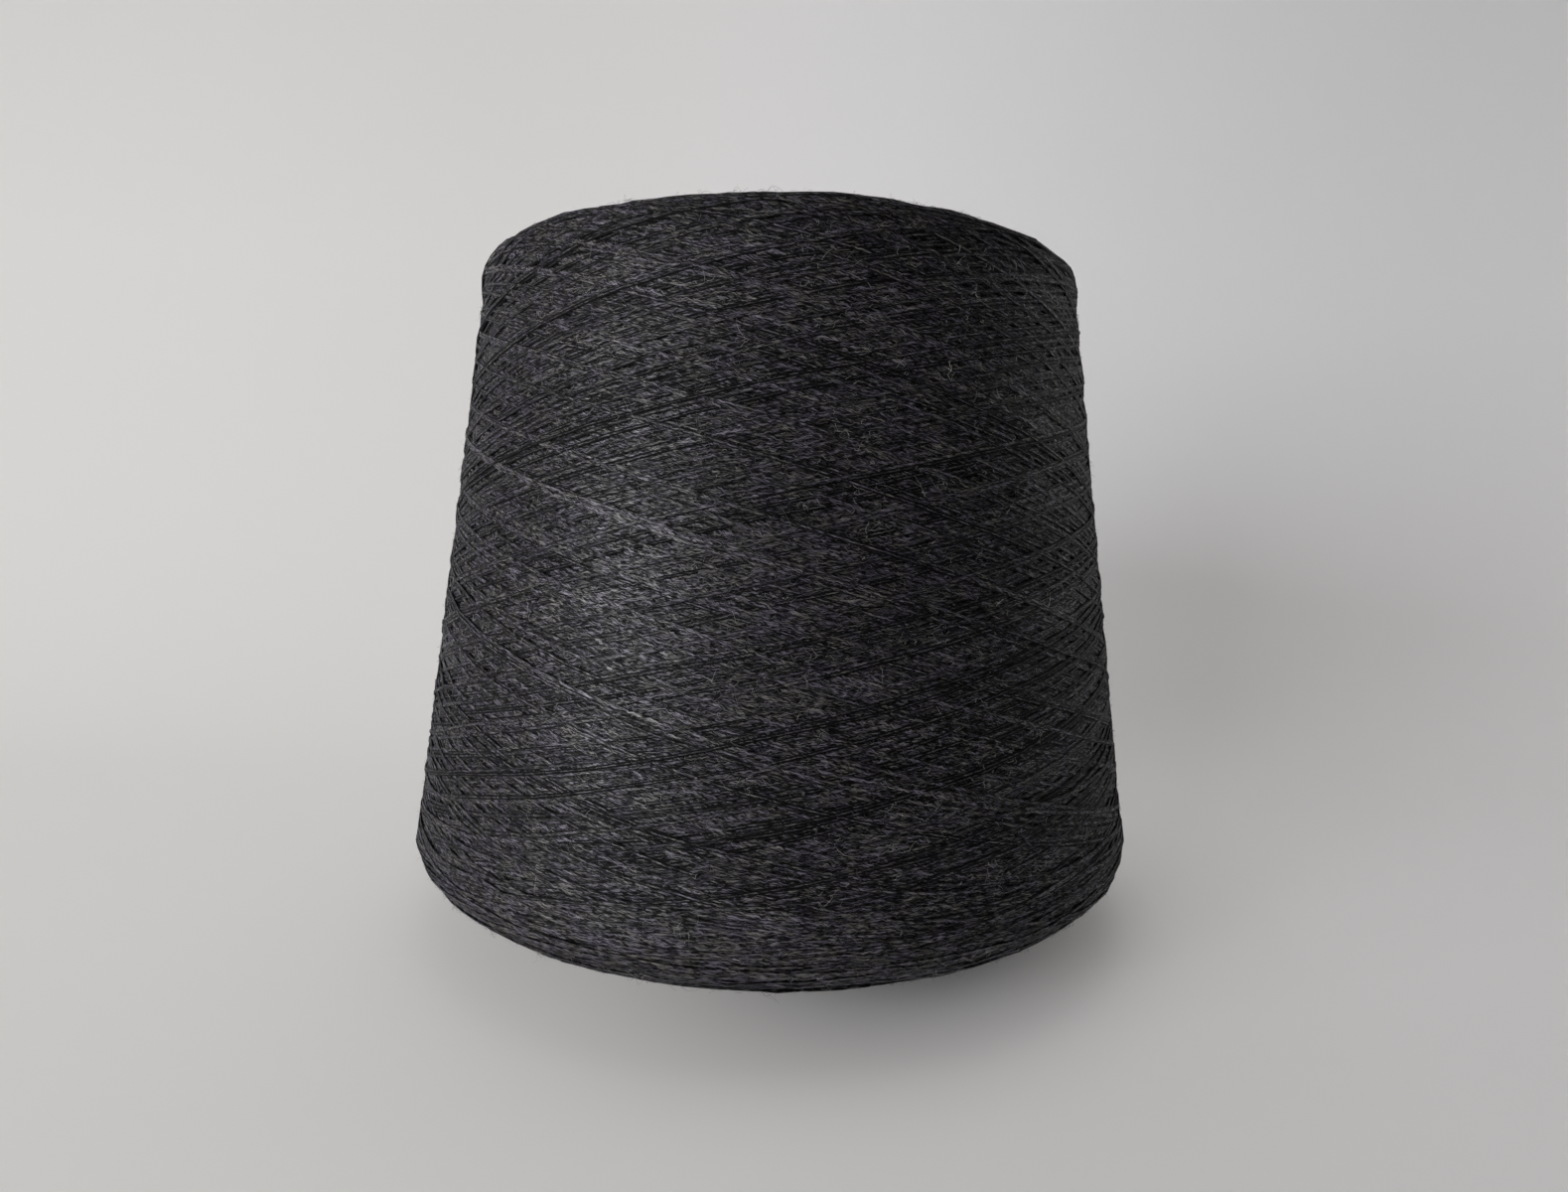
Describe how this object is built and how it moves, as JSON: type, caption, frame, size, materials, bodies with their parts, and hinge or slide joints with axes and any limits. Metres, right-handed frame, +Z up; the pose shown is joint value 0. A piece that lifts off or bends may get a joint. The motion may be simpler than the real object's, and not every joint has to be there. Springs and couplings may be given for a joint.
{
  "type": "cone of yarn",
  "caption": "Cross-wound cone of soft charcoal yarn on a tapered, round-nosed paper cone, which stands on its base edge or on a peg.",
  "frame": {"origin": "centre of the paper cone's base edge, on the surface that the cone stands on", "axes": "+Z up the cone's axis from base to nose; +Y towards the slot in the base edge"},
  "size_m": [0.1862, 0.1862, 0.17],
  "materials": {
    "board": "matte",
    "cover": "matte",
    "yarn": "matte"
  },
  "bodies": {
    "root": {"cone_board": "board", "cone_cover": "cover", "yarn_body": "yarn", "outer_turns": "yarn", "yarn_tail": "yarn"}
  },
  "joints": []
}
